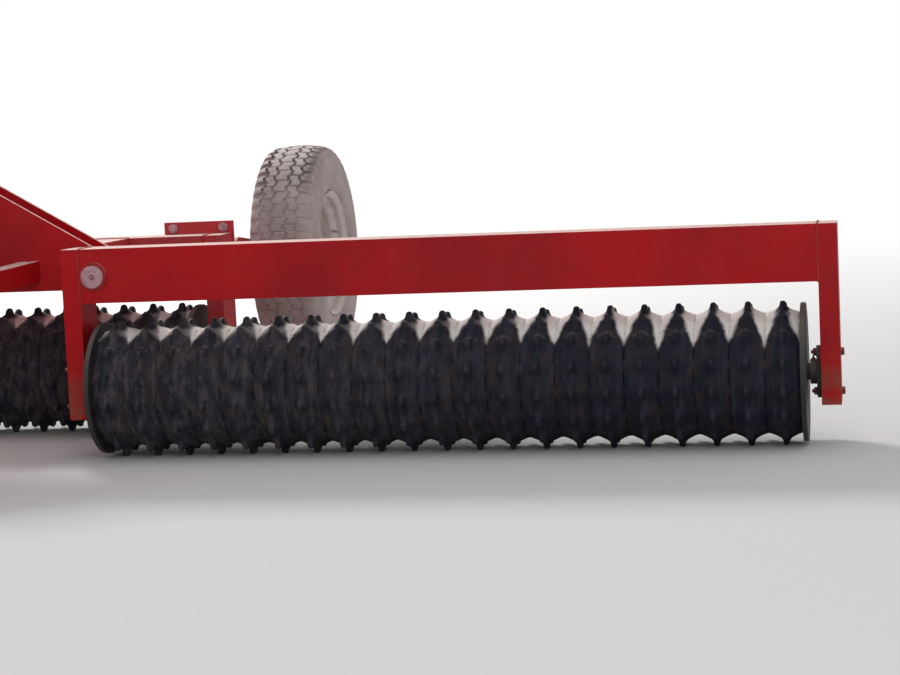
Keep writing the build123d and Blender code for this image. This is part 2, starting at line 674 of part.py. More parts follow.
# Parking jack on the drawbar's left side
jack_y = WING_Y - JACK_REACH
jack_x = -(DRAWBAR_W / 2 + JACK_STAND_OFF + JACK_TUBE_W / 2)
jack_inside = JACK_TUBE_W - 2 * JACK_TUBE_WALL
with BuildPart() as jack_tube:
    with BuildSketch(Plane.XY.offset(JACK_TUBE_FOOT)):
        with Locations((jack_x, jack_y)):
            Rectangle(JACK_TUBE_W, JACK_TUBE_W)
    extrude(amount=JACK_TUBE_TOP - JACK_TUBE_FOOT)
    with BuildSketch(Plane.XY.offset(JACK_TUBE_FOOT)):
        with Locations((jack_x, jack_y)):
            Rectangle(jack_inside, jack_inside)
    extrude(amount=JACK_TUBE_TOP - JACK_TUBE_FOOT - JACK_TUBE_WALL, mode=Mode.SUBTRACT)
    with BuildSketch(Plane.YZ.offset(-DRAWBAR_W / 2)):
        with Locations((jack_y, drawbar_z(jack_y))):
            Rectangle(JACK_TUBE_W, JACK_BRACKET_H)
    extrude(amount=-JACK_STAND_OFF)
save(jack_tube, "jack_tube")

jack_leg_w = jack_inside - 2 * JACK_LEG_CLEAR
with BuildPart() as jack_leg:
    with BuildSketch(Plane.XY):
        with Locations((jack_x, jack_y)):
            Rectangle(JACK_FOOT_W, JACK_FOOT_W)
    extrude(amount=JACK_FOOT_T)
    with BuildSketch(Plane.XY.offset(JACK_FOOT_T)):
        with Locations((jack_x, jack_y)):
            Rectangle(jack_leg_w, jack_leg_w)
            Rectangle(jack_leg_w - 2 * JACK_TUBE_WALL, jack_leg_w - 2 * JACK_TUBE_WALL, mode=Mode.SUBTRACT)
    extrude(amount=JACK_LEG_LENGTH)
save(jack_leg, "jack_leg")

# The left-hand twins
for name, piece in right_hand.items():
    with BuildPart() as twin:
        add(mirror(piece, about=Plane.YZ, mode=Mode.PRIVATE))
    save(twin, f"{name}_left")
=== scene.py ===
# %% [markdown]
# # A trailed land roller, dressed over its solids
# Three gangs of lugged iron rings break clods behind a tractor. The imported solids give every
# main form. This lesson adds what the solids leave out: the shaped teeth of the rings, the tyre
# treads, welds, nuts and the paint, dust and soil that make it a working machine.

# %% Load the solids
from math import cos, pi, radians, sin

import bmesh
import bpy
import numpy as np
from mathutils import Matrix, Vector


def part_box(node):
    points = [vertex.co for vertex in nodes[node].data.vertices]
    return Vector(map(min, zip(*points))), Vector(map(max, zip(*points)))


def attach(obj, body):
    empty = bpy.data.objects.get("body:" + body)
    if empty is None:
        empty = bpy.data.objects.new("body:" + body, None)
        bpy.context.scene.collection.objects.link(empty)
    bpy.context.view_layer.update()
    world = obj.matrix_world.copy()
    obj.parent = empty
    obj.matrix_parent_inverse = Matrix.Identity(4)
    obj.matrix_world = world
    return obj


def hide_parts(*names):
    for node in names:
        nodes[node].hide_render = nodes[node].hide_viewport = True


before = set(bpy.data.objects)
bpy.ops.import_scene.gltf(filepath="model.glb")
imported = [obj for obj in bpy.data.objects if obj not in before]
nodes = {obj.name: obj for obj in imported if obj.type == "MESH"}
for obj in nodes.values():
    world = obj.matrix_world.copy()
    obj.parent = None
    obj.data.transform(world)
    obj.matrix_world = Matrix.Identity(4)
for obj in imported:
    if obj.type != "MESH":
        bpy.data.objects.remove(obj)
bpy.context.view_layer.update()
random = np.random.default_rng(seed=7)

# %% [markdown]
# Every new piece is a grid of points: rows go round the piece and columns run along its section.
# A Python loop over vertices would be slow and hard to read, so each shape is one array
# expression, and a single helper turns grids into a mesh. Rows and columns that meet at a pole
# fall on one point, and merging doubles closes them.

# %% A mesh from grids of points
MERGE_WITHIN = 1e-6


def grid_quads(rows, columns, first, joined):
    """Quads of a grid whose rows join round; with joined, the columns join round as well."""
    number = first + np.arange(rows * columns).reshape(rows, columns)
    number = np.vstack([number, number[:1]])
    if joined:
        number = np.hstack([number, number[:, :1]])
    corners = (number[:-1, :-1], number[1:, :-1], number[1:, 1:], number[:-1, 1:])
    return np.stack(corners, -1).reshape(-1, 4)


def add_object(name, data):
    """A new object that holds this data, linked to the scene."""
    made = bpy.data.objects.new(name, data)
    bpy.context.scene.collection.objects.link(made)
    return made


def make_piece(name, grids, body, material, joined=False, sharp=35):
    """Mesh of several grids, each shaped rows x columns x 3, riding on a body of the machine."""
    sizes = [grid.shape[0] * grid.shape[1] for grid in grids]
    starts = np.cumsum([0] + sizes[:-1])
    points = np.concatenate([grid.reshape(-1, 3) for grid in grids])
    quads = [grid_quads(*grid.shape[:2], start, joined) for grid, start in zip(grids, starts)]
    quads = np.concatenate(quads)
    mesh = bpy.data.meshes.new(name)
    mesh.vertices.add(len(points))
    mesh.vertices.foreach_set("co", points.ravel())
    mesh.loops.add(quads.size)
    mesh.loops.foreach_set("vertex_index", quads.ravel())
    mesh.polygons.add(len(quads))
    mesh.polygons.foreach_set("loop_start", np.arange(0, quads.size, 4))
    mesh.update(calc_edges=True)
    work = bmesh.new()
    work.from_mesh(mesh)
    bmesh.ops.remove_doubles(work, verts=work.verts, dist=MERGE_WITHIN)
    bmesh.ops.recalc_face_normals(work, faces=work.faces)
    work.to_mesh(mesh)
    work.free()
    mesh.shade_smooth()
    mesh.set_sharp_from_angle(angle=radians(sharp))
    mesh.materials.append(material)
    piece = add_object(name, mesh)
    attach(piece, body)
    triangles = sum(len(face.vertices) - 2 for face in mesh.polygons)
    print(f"{name}: {triangles} triangles")
    return piece


def corners_of(node):
    """Lowest and highest corner of a solid's box, as arrays."""
    low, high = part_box(node)
    return np.array(low), np.array(high)


def middle_of(node):
    """Centre of a solid's box, as an array."""
    low, high = corners_of(node)
    return (low + high) / 2


# %% [markdown]
# The camera stands in front of the machine's right-hand side, low and far away, with a long lens,
# because the beam's ends differ little in size. Its place comes from known corners of the beam, the
# legs and the rings, whose sizes are in the solids.

# %% The photographer's camera
CAMERA_AT = (3.775, -7.633, 1.245)
CAMERA_LEFT, CAMERA_DOWN, CAMERA_ROLL = radians(11.09), radians(5.72), radians(-2.65)
FOCAL_PIXELS = 2228.2
PICTURE_PIXELS = 900
SENSOR_MM = 36.0
FAR_CLIP = 200.0


def aim(thing, at, right, up, back):
    """Place a camera or a lamp at a point, with its own right, up and back directions."""
    turn = Matrix(np.column_stack([right, up, back]).tolist()).to_4x4()
    thing.matrix_world = Matrix.Translation(at) @ turn


forward = np.array(
    [-sin(CAMERA_LEFT) * cos(CAMERA_DOWN), cos(CAMERA_LEFT) * cos(CAMERA_DOWN), -sin(CAMERA_DOWN)]
)
level = np.array([cos(CAMERA_LEFT), sin(CAMERA_LEFT), 0.0])
upright = np.cross(level, forward)
right = level * cos(CAMERA_ROLL) + upright * sin(CAMERA_ROLL)
up = upright * cos(CAMERA_ROLL) - level * sin(CAMERA_ROLL)
camera = add_object("camera", bpy.data.cameras.new("camera"))
aim(camera, CAMERA_AT, right, up, -forward)
camera.data.sensor_width = SENSOR_MM
camera.data.lens = FOCAL_PIXELS * SENSOR_MM / PICTURE_PIXELS
camera.data.clip_end = FAR_CLIP
bpy.context.scene.camera = camera
print("lens:", round(camera.data.lens, 1), "mm")

# %% [markdown]
# Finishes are written as sums. A small class holds one output of a node tree, and adding,
# multiplying or dividing such outputs adds the Math nodes. Its one general method, node, makes any
# other node: first the type, then the settings, then the sockets.


# %% Shader maths as Python expressions
class Flow:
    """One output socket of a node tree, which Python's operators can work on."""

    def __init__(self, tree, socket=None):
        self.tree = tree
        self.socket = socket

    def node(self, kind, settings=(), sockets=(), output=0):
        """A new node of this kind, as the flow of one of its outputs."""
        made = self.tree.nodes.new(kind)
        for name, value in dict(settings).items():
            setattr(made, name, value)
        for name, value in dict(sockets).items():
            if isinstance(value, Flow):
                self.tree.links.new(value.socket, made.inputs[name])
            else:
                made.inputs[name].default_value = value
        return Flow(self.tree, made.outputs[output])

    def math(self, operation, first, second=0.0):
        """A Math node on two flows or numbers."""
        return self.node("ShaderNodeMath", {"operation": operation}, {0: first, 1: second})

    def __add__(self, other):
        return self.math("ADD", self, other)

    def __mul__(self, other):
        return self.math("MULTIPLY", self, other)

    def __sub__(self, other):
        return self.math("SUBTRACT", self, other)

    def __rsub__(self, other):
        return self.math("SUBTRACT", other, self)

    def __truediv__(self, other):
        return self.math("DIVIDE", self, other)

    def __rtruediv__(self, other):
        return self.math("DIVIDE", other, self)

    def __abs__(self):
        return self.math("ABSOLUTE", self)

    __radd__ = __add__
    __rmul__ = __mul__

    def rise(self, low, high):
        """0 below low, 1 above high, and a smooth step between; it falls where low is above high."""
        sockets = {"Value": self, "From Min": low, "From Max": high}
        return self.node("ShaderNodeMapRange", {"interpolation_type": "SMOOTHSTEP"}, sockets)

    def noise(self, scale, detail=3.0, roughness=0.55):
        """Fractal noise between 0 and 1, read at this vector."""
        sockets = {"Vector": self, "Scale": scale, "Detail": detail, "Roughness": roughness}
        return self.node("ShaderNodeTexNoise", {}, sockets)

    def part(self, axis):
        """One of a vector's three numbers."""
        return self.node("ShaderNodeSeparateXYZ", {}, {0: self}, axis)

    def length(self):
        """How long a vector is."""
        return self.node("ShaderNodeVectorMath", {"operation": "LENGTH"}, {0: self}, 1)

    def stretched(self, scale):
        """The vector with each of its numbers multiplied, which stretches a pattern read from it."""
        return self.node("ShaderNodeVectorMath", {"operation": "MULTIPLY"}, {0: self, 1: scale})

    def mix(self, first, second):
        """Colour that goes from first to second as this share goes from 0 to 1."""
        sockets = {0: self, 6: first, 7: second}
        return self.node("ShaderNodeMix", {"data_type": "RGBA"}, sockets, 2)


# %% Colours, and how a finish starts and ends
def paint(red, green, blue):
    """A colour as a paint chart gives it, 0 to 255, in the linear numbers that shaders use."""
    share = np.array([red, green, blue]) / 255
    linear = np.where(share <= 0.04045, share / 12.92, ((share + 0.055) / 1.055) ** 2.4)
    return (*linear.tolist(), 1.0)


def start_finish(name):
    """An empty material, with the place and the facing of the surface point as flows."""
    material = bpy.data.materials.new(name)
    material.use_nodes = True
    material.node_tree.nodes.clear()
    flow = Flow(material.node_tree)
    place = flow.node("ShaderNodeTexCoord", {}, {}, "Object")
    facing = flow.node("ShaderNodeTexCoord", {}, {}, "Normal")
    return material, place, facing


def close_tree(shader, kind="ShaderNodeOutputMaterial"):
    """Link a shader to the output node of its tree."""
    output = shader.tree.nodes.new(kind)
    shader.tree.links.new(shader.socket, output.inputs["Surface"])


def end_finish(material, colour, rough, metal, relief, depth, strength, constants=()):
    """Close a material: colour and roughness vary, and a relief times depth bends the normal."""
    flow = Flow(material.node_tree)
    bump = {"Height": relief, "Distance": depth, "Strength": strength}
    sockets = {
        "Base Color": colour, "Roughness": rough, "Metallic": metal,
        "Normal": flow.node("ShaderNodeBump", {}, bump), **dict(constants),
    }
    close_tree(flow.node("ShaderNodeBsdfPrincipled", {}, sockets))
    return material


print("red 181, 3, 17 in linear numbers:", np.round(paint(181, 3, 17)[:3], 3))

# %% [markdown]
# Red paint is never one red. It fades in patches, dust settles on whatever faces up, mud splashes
# the feet, and edges and stones chip it down to dark primer. The pale colour on up-facing faces is
# dust and also a painted highlight, which runs over the beams' rounded top edges. Each of these is
# a share between 0 and 1 made from noise, from the height above the ground and from the way the
# surface faces.


# %% Dusty red paint
def red_paint(name, dust_amount, fresh, faded):
    """Paint that dust veils by dust_amount from 0 to 1; where it faces up, pale dust and a painted
    highlight.
    """
    material, place, facing = start_finish(name)
    patches = place.noise(2.1, 4.0).rise(0.35, 0.68)
    streaks = place.stretched((26.0, 26.0, 2.5)).noise(1.0, 3.0).rise(0.48, 0.75)
    fine = place.noise(38.0, 3.0)
    grit = place.noise(420.0, 2.0)
    # Up-facing share: settled dust, widened over the rounded top edges as a painted highlight.
    up_facing_dust_and_highlight = facing.part(2).rise(0.05, 0.7)
    pale_on_top = up_facing_dust_and_highlight * (0.62 + 0.35 * fine.rise(0.3, 0.6))
    film = place.noise(6.0, 5.0, 0.65).rise(0.42, 0.78)
    veil = (film * 0.6 + streaks * 0.4) * dust_amount + dust_amount * 0.12
    low_down = place.part(2).rise(0.42, 0.10) * place.noise(13.0, 4.0, 0.6).rise(0.36, 0.62)
    chips = place.noise(66.0, 4.0, 0.7).rise(0.70, 0.735) * place.noise(5.0, 2.0).rise(0.48, 0.7)
    colour = patches.mix(fresh, faded)
    colour = chips.mix(colour, paint(66, 38, 33))
    colour = veil.mix(colour, paint(176, 128, 112))
    colour = (low_down * 0.75).mix(colour, paint(118, 92, 70))
    # Pale dust and painted highlight on up-facing faces.
    colour = pale_on_top.mix(colour, paint(232, 200, 190))
    rough = 0.44 + 0.10 * fine + 0.35 * pale_on_top + 0.3 * low_down + 0.3 * veil
    relief = grit * 0.25 + fine * 0.35 - chips * 0.8 + low_down * 0.6
    return end_finish(material, colour, rough, 0.0, relief, 0.0012, 0.35, {"Specular IOR Level": 0.2})


red_near = red_paint("red_near", 0.04, paint(181, 3, 17), paint(155, 7, 19))
# The frame behind: dustier, and its red painted lighter against the shade there.
red_far_lightened = red_paint("red_far_lightened", 0.28, paint(196, 50, 58), paint(178, 54, 60))
print("paints:", red_near.name, red_far_lightened.name)

# %% [markdown]
# The rings are raw cast iron. Work keeps the teeth's tips bare, dry soil hangs in the hollows
# between the teeth, and on top near-white, dust-coloured patches paint the sunlight that falls in V's
# between the teeth's shadows, widest where two rings meet. The iron's base is darkened to how it
# looks in shade. Nearer to the machine's middle fewer such patches paint the frame's shadow, and a
# haze of dust greys the rings. The distance from the gang's axle tells a tip from a hollow, and each
# kind of gang has its own axle, so the finish is made once for each kind.

# %% Cast iron with soil on it
WING_RINGS, CENTRE_RINGS = 21, 16
BARE_TIP_R = (0.2515, 0.2605)
HOLLOW_R = (0.2385, 0.2195)
SUNLIT_FROM, SUNLIT_FALL = 0.29, 1.68
MIDDLE_SHADE_FROM, MIDDLE_SHADE_FALL = 0.26, 1.2


def from_axle(place, axle):
    """A surface point as seen from an axle along X: its vector across the axle, and its distance."""
    away = place.node("ShaderNodeVectorMath", {"operation": "SUBTRACT"}, {0: place, 1: tuple(axle)})
    flat = away.stretched((0.0, 1.0, 1.0))
    return flat, flat.length()


def ring_iron(name, axle, start, pitch):
    """Iron whose dirt and painted light depend on the distance from an axle along X through the point
    axle. Painted sunlight, in the pale dust colour, lies where seam is over SUNLIT_FROM + SUNLIT_FALL
    (1 - top): seam is 0 in a ring's middle and 1 where two rings meet, and top is the cosine of the
    angle from straight up. At the machine's middle, under the frame's painted shadow,
    MIDDLE_SHADE_FROM + MIDDLE_SHADE_FALL (1 - top) more is needed. The rings follow by pitch from
    |x| = start."""
    material, place, facing = start_finish(name)
    flat, radius = from_axle(place, axle)
    from_middle = abs(place.part(0))
    coarse = place.noise(190.0, 3.0)
    blotch = place.stretched((1.0, 0.8, 0.8)).noise(17.0, 5.0, 0.62)
    wide = place.noise(3.2, 3.0)
    bare = radius.rise(*BARE_TIP_R) * blotch.rise(0.32, 0.6)
    hollow = radius.rise(*HOLLOW_R)
    runs = place.stretched((46.0, 5.0, 5.0)).noise(1.0, 4.0, 0.6).rise(0.46, 0.66)
    soil = (blotch.rise(0.46, 0.66) * 0.6 + wide.rise(0.5, 0.7) * 0.3) * (0.3 + 0.5 * hollow)
    ring = (from_middle - start) * (1 / pitch)
    seam = abs(ring.math("FRACT", ring) - 0.5) * 2.0
    off_top = 1 - flat.part(2) / radius
    near_middle = from_middle.rise(3.3, 0.9)
    # Near the middle more is needed: the frame's shadow painted over those rings.
    needed = SUNLIT_FROM + SUNLIT_FALL * off_top + near_middle * (MIDDLE_SHADE_FROM + MIDDLE_SHADE_FALL * off_top)
    # Painted sunlight: pale V's between the teeth's cast shadows, reaching furthest down the front at the
    # seams.
    sunlit_v = seam - needed + 0.5 * blotch + 0.6 * place.noise(5.5, 2.0) - 0.56
    dust = sunlit_v.rise(-0.16, 0.14) * (0.72 + 0.28 * coarse.rise(0.3, 0.62))
    # Less painted sunlight on faces turned to the back, and a lighter top painted on up-facing hollows.
    dust = dust * (1 - 0.55 * (facing.part(1) + 0.5 * wide).rise(0.25, 0.75))
    dust = dust + (facing.part(2) + 0.12 * blotch).rise(0.80, 1.02) * hollow * (1 - dust) * 0.3
    haze = place.stretched((1.0, 0.35, 0.35)).noise(34.0, 5.0, 0.7).rise(0.42, 0.66)
    # A very dark base, darkened to how the iron looks in shade.
    colour = wide.rise(0.35, 0.65).mix(paint(27, 29, 38), paint(19, 23, 36))
    colour = (runs * 0.5).mix(colour, paint(52, 52, 66))
    colour = (soil * 0.7).mix(colour, paint(72, 55, 45))
    colour = (bare * 0.12).mix(colour, paint(66, 62, 66))
    colour = (near_middle * (0.04 + 0.42 * haze)).mix(colour, paint(100, 92, 94))
    # The pale dust colour here carries the painted sunlight.
    colour = dust.mix(colour, paint(246, 240, 232))
    rough = 0.58 + 0.2 * coarse + 0.2 * soil - 0.12 * bare + 0.2 * dust
    relief = coarse * 0.5 + blotch * 0.9 + soil * 0.8
    constants = {"Specular IOR Level": 0.16}
    return end_finish(material, colour, rough, bare * 0.2, relief, 0.0022, 0.7, constants)


wing_axle = middle_of("shaft_right") * (0, 1, 1)
centre_axle = middle_of("shaft_centre")
wing_low, wing_high = corners_of("rings_right")
wing_pitch = (wing_high[0] - wing_low[0]) / WING_RINGS
centre_pitch = corners_of("rings_centre")[1][0] / (CENTRE_RINGS / 2)
iron_wing = ring_iron("iron_wing", wing_axle, wing_low[0], wing_pitch)
iron_centre = ring_iron("iron_centre", centre_axle, 0.0, centre_pitch)
print("axles:", wing_axle.round(3), centre_axle.round(3), "ring pitch:", wing_pitch.round(4))

# %% [markdown]
# The smaller finishes share one recipe: a base colour with blotches, a film of dust where the
# surface faces up, and a fine relief. Only their colours, shine and scale differ.


# %% Castings, steel, chrome, black and grey paint
def worn_finish(name, base, blotch_colour, rough, metal, dust, scale, relief=0.4):
    """Base colour with blotches of another, and dust from 0 to 1 where the surface faces up."""
    material, place, facing = start_finish(name)
    blotch = place.noise(scale, 5.0, 0.62).rise(0.44, 0.68)
    fine = place.noise(scale * 14, 3.0)
    pale_on_top = facing.part(2).rise(0.2, 0.95) * (dust * (0.55 + 0.45 * fine))
    film = place.noise(scale * 0.4, 4.0).rise(0.4, 0.8) * (dust * 0.45)
    colour = blotch.mix(base, blotch_colour)
    colour = film.mix(colour, paint(150, 128, 108))
    colour = pale_on_top.mix(colour, paint(196, 176, 154))
    shine = rough + 0.14 * blotch + 0.1 * fine + 0.3 * pale_on_top + 0.2 * film
    bare = metal * (1 - pale_on_top) if metal else 0.0
    return end_finish(material, colour, shine, bare, fine * 0.5 + blotch * 0.5, 0.001, relief)


bearing_iron = worn_finish("bearing_iron", paint(36, 34, 38), paint(66, 50, 44), 0.55, 0.0, 0.4, 26.0, 0.6)
shaft_steel = worn_finish("shaft_steel", paint(32, 32, 37), paint(54, 46, 43), 0.55, 0.1, 0.2, 9.0, 0.5)
pin_steel = worn_finish("pin_steel", paint(188, 144, 152), paint(156, 116, 122), 0.5, 0.05, 0.35, 40.0)
bolt_zinc = worn_finish("bolt_zinc", paint(168, 164, 156), paint(126, 112, 98), 0.36, 0.6, 0.4, 60.0)
chrome = worn_finish("chrome", paint(214, 214, 218), paint(190, 188, 188), 0.12, 1.0, 0.12, 30.0, 0.1)
black_paint = worn_finish("black_paint", paint(34, 35, 38), paint(62, 58, 54), 0.38, 0.0, 0.55, 12.0, 0.3)
jack_grey = worn_finish("jack_grey", paint(112, 114, 116), paint(88, 84, 80), 0.45, 0.25, 0.5, 18.0)
rim_paint = worn_finish("rim_paint", paint(204, 192, 192), paint(190, 174, 166), 0.5, 0.0, 0.5, 12.0, 0.3)
bolt_painted = worn_finish("bolt_painted", paint(118, 40, 40), paint(74, 48, 44), 0.45, 0.1, 0.4, 60.0)
weld_paint = worn_finish("weld_paint", paint(170, 12, 24), paint(140, 18, 26), 0.6, 0.0, 0.14, 60.0, 0.5)
print("materials so far, with the solids' own:", len(bpy.data.materials))

# %% [markdown]
# Rubber starts nearly black, but a field tyre is grey-brown under its dust. Packed soil fills most
# of the tread. Near the top of the wheel its grooves are painted as dark lines, clean rubber with
# painted shade in them. The height of a point over the hub fades them out.

# %% Dusty rubber
GROOVE_SHADE_TOP_R = (0.468, 0.459)
GROOVE_SHADE_FOOT_R = (0.445, 0.456)
FILLED_BELOW = (0.47, 0.33)


def rubber(name, hub):
    """Rubber whose dust and painted groove shade depend on the distance from the wheel's axle through the
    point hub.
    """
    material, place, facing = start_finish(name)
    flat, radius = from_axle(place, hub)
    cloud = place.noise(9.0, 5.0, 0.6)
    fine = place.noise(150.0, 3.0)
    groove = radius.rise(*GROOVE_SHADE_TOP_R) * radius.rise(*GROOVE_SHADE_FOOT_R)
    filled = (flat.part(2) + 0.16 * place.noise(4.2, 3.0)).rise(*FILLED_BELOW)
    # Grooves darker near the top of the wheel: clean rubber and painted shade in them.
    film = 0.66 + 0.26 * cloud.rise(0.32, 0.68) + 0.08 * fine - groove * (0.38 - 0.36 * filled)
    pale_on_top = facing.part(2).rise(0.45, 0.95) * (1 - groove) * 0.62
    colour = film.mix(paint(54, 46, 46), paint(184, 168, 164))
    colour = pale_on_top.mix(colour, paint(208, 198, 190))
    rough = 0.66 + 0.22 * film
    return end_finish(material, colour, rough, 0.0, fine * 0.6 + cloud * 0.6, 0.0012, 0.45)


tyre_hub = middle_of("tyre_right") * (0, 1, 1)
tyre_rubber = rubber("tyre_rubber", tyre_hub)
print("tyre axle:", tyre_hub.round(3))

# %% [markdown]
# The rings make the machine what it is. Each has a rim with a low ridge, and fifteen teeth. Seen
# along the axle a tooth is a narrow block; seen from the front it is a pointed arch whose flanks run
# out in hollow curves over the rim. So the radius of a surface point is that of the rim plus the
# tooth's height, which falls with the distance from the ring's middle, times a flat-topped share
# that falls with the angle from the tooth's own middle. Rows go round and columns go across.

# %% One ring's radii, row by row and column by column
TEETH = 15
HALF_RING = 0.0622
across = np.array([58, 48, 37, 27, 20, 15.5, 12.3, 9.4, 5.0]) / 1000
across = np.concatenate([[-HALF_RING], -across, [0.0], across[::-1], [HALF_RING]])
rim_r = np.interp(abs(across), [0, 0.048, 0.058, HALF_RING], [0.2335, 0.2215, 0.2185, 0.2125])
tooth_top = np.interp(
    abs(across),
    np.array([0, 5.0, 9.4, 12.3, 15.5, 20, 27, 37, 48, 58]) / 1000,
    np.array([262, 261.6, 258.5, 247, 240.5, 236, 232.0, 227.0, 222.2, 219]) / 1000,
)
tooth_high = np.maximum(tooth_top - rim_r, 0)
row_turn = np.array([-12.0, -8.0, -5.4, -3.4, -1.5, 1.5, 3.4, 5.4, 8.0])
row_share = np.array([0.0, 0.04, 0.34, 0.82, 1.0, 1.0, 0.82, 0.34, 0.04])
ring_r = rim_r[None, :] + row_share[:, None] * tooth_high[None, :]
print("rim", rim_r.min(), "to", rim_r.max(), "m, tooth tips at", ring_r.max(), "m")

# %% A gang of rings in one mesh
BORE_R = 0.205
BORE_HALF = HALF_RING - 0.004
TOOTH_AHEAD = -8.0
LEAD_WAVE = 0.31
TURN_SCATTER = 0.25
CASTING_SCATTER = 0.0005
SMOOTH_TIP_R = 0.25


def ring_gang(name, node, body, material, count, lead):
    """Rings side by side in the node's box; lead is how far each one's teeth run ahead, in degrees.
    A point lies at x along the axle and at radius times (cos, sin) of its turn around it."""
    low, high = corners_of(node)
    pitch = (high[0] - low[0]) / count
    axle = middle_of(node)
    teeth_turn = np.arange(TEETH)[:, None] * 360 / TEETH - 90
    turns = (teeth_turn + row_turn[None, :]).ravel()
    radii = np.tile(ring_r, (TEETH, 1))
    section_x = np.concatenate([across, [BORE_HALF, -BORE_HALF]])
    radii = np.concatenate([radii, np.full((len(turns), 2), BORE_R)], 1)
    grids = []
    for number in range(count):
        ahead = TOOTH_AHEAD + lead * np.sin(number * LEAD_WAVE) + random.normal(0, TURN_SCATTER)
        casting = random.normal(0, CASTING_SCATTER, radii.shape) * (radii < SMOOTH_TIP_R)
        turn = np.radians(turns + ahead)[:, None]
        reach = radii + casting
        x = low[0] + pitch * (number + 0.5) + section_x[None, :] + 0 * reach
        grids.append(np.stack([x, axle[1] + reach * np.cos(turn), axle[2] + reach * np.sin(turn)], -1))
    piece = make_piece(name, grids, body, material, joined=True, sharp=38)
    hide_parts(node)


ring_gang("rings_right_cast", "rings_right", "gang_right", iron_wing, WING_RINGS, 2.2)
ring_gang("rings_left_cast", "rings_left", "gang_left", iron_wing, WING_RINGS, -2.2)
ring_gang("rings_centre_cast", "rings_centre", "gang_centre", iron_centre, CENTRE_RINGS, 1.8)

# %% [markdown]
# A tyre is a section carried round the wheel. Zigzag grooves part its tread into ribs, and short
# notches part each rib into blocks. The grid's columns sway from side to side with the zigzag, so
# groove edges are grid lines and stay crisp with few faces.

# %% The tyre's section and its tread
WAVES = 48
GROOVES_X = ((0.0255, 0.0345), (0.0725, 0.0815))
MIDDLE_RIB_X = 0.024
SHOULDER_X = 0.083
NOTCH_SHARE = 0.8
CUT_FROM_R, CUT_FADE = 0.400, 0.035
half_section = np.array([
    (99, 258.6), (105.5, 259.5), (111, 265.5), (118, 275), (126, 285), (134, 296.5), (140, 309),
    (142, 325), (141.8, 345), (140.6, 349), (140.4, 356), (141.2, 360), (139, 384), (136.5, 404),
    (135.6, 408), (133.5, 424), (128, 441), (117, 455.5), (97, 464.0), (84, 467.3), (81, 467.9),
    (73, 469.0), (70, 469.4), (52, 471.6), (37, 472.9), (34, 473.1), (26, 473.7), (23, 473.9),
    (11, 474.4), (0, 474.6),
]) / 1000
section = np.concatenate([half_section, half_section[-2::-1] * (-1, 1)])
lining = np.array([(-93, 259.5), (-112, 285), (-126, 330), (-117, 418), (-70, 448), (0, 454)]) / 1000
lining = np.concatenate([lining, lining[-2::-1] * (-1, 1)])
wave_s = np.array([0.0, 0.07, 0.43, 0.50, 0.57, 0.93])
wave_side = np.array([0.0, 1.0, 0.35, 0.0, -1.0, -0.35])
notch_even = np.array([1.0, 0, 0, 0, 0, 0])
notch_odd = np.array([0, 0, 0, 1.0, 0, 0])
notch_shoulder = np.array([1.0, 1.0, 0, 0, 0, 0])


def tread_cut(section_x, radius):
    """How deep each grid point is cut, 0 to 1: fully in grooves, fading out down the shoulder."""
    x = abs(section_x)
    groove = np.any([(x > near) & (x < far) for near, far in GROOVES_X], 0)
    even_rib = (x < MIDDLE_RIB_X) | (x > SHOULDER_X)
    notch = np.where(even_rib[None, :], notch_even[:, None], notch_odd[:, None])
    notch = np.where(x[None, :] > SHOULDER_X, notch_shoulder[:, None], notch)
    fade = np.clip((radius - CUT_FROM_R) / CUT_FADE, 0, 1)
    return np.maximum(notch * NOTCH_SHARE, groove[None, :]) * fade[None, :]


cuts = tread_cut(section[:, 0], section[:, 1])
print("tread: rows cut", cuts.shape, "section from", section[:, 1].min(), "to", section[:, 1].max(), "m")

# %% Two treaded tyres
TREAD_DEPTH = 0.0145
FILLED_DEPTH = 0.38
CLEAR_FROM, CLEAR_FADE = 0.5, 0.3
SWAY = 0.0085
SWAY_END_X, SWAY_FADE = 0.122, 0.02
SWAY_FROM_R = 0.44


def treaded_tyre(side):
    """Section points, less the tread's cuts, turned about the axle; x sways with the turn by up to
    SWAY times a share that fades out before SWAY_END_X. Packed soil leaves the cuts FILLED_DEPTH of
    their depth, except at the top, where the sine of the turn is over CLEAR_FROM."""
    hub = middle_of("tyre_" + side)
    turn = 2 * pi / WAVES * (np.arange(WAVES)[:, None] + wave_s[None, :]).ravel()[:, None]
    free = np.clip((SWAY_END_X - abs(section[:, 0])) / SWAY_FADE, 0, 1) * (section[:, 1] > SWAY_FROM_R)
    tread_x = section[None, :, 0] + SWAY * np.tile(wave_side, WAVES)[:, None] * free[None, :]
    clear = np.clip((np.sin(turn) - CLEAR_FROM) / CLEAR_FADE, 0, 1)
    depth = TREAD_DEPTH * (FILLED_DEPTH + (1 - FILLED_DEPTH) * clear)
    tread_r = section[None, :, 1] - depth * np.tile(cuts, (WAVES, 1))
    x = np.concatenate([tread_x, lining[None, :, 0] + 0 * turn], 1)
    radius = np.concatenate([tread_r, lining[None, :, 1] + 0 * turn], 1)
    grid = np.stack([hub[0] + x, hub[1] + radius * np.cos(turn), hub[2] + radius * np.sin(turn)], -1)
    piece = make_piece(
        "tyre_treaded_" + side, [grid], "wheel_" + side, tyre_rubber, joined=True, sharp=32
    )
    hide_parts("tyre_" + side)


treaded_tyre("right")
treaded_tyre("left")

# %% [markdown]
# Bolts, nuts, pins and caps are turned shapes: a profile of heights and radii carried round an axis.
# A hexagon is the same shape with a radius that grows towards six corners, cut off by the chamfer.


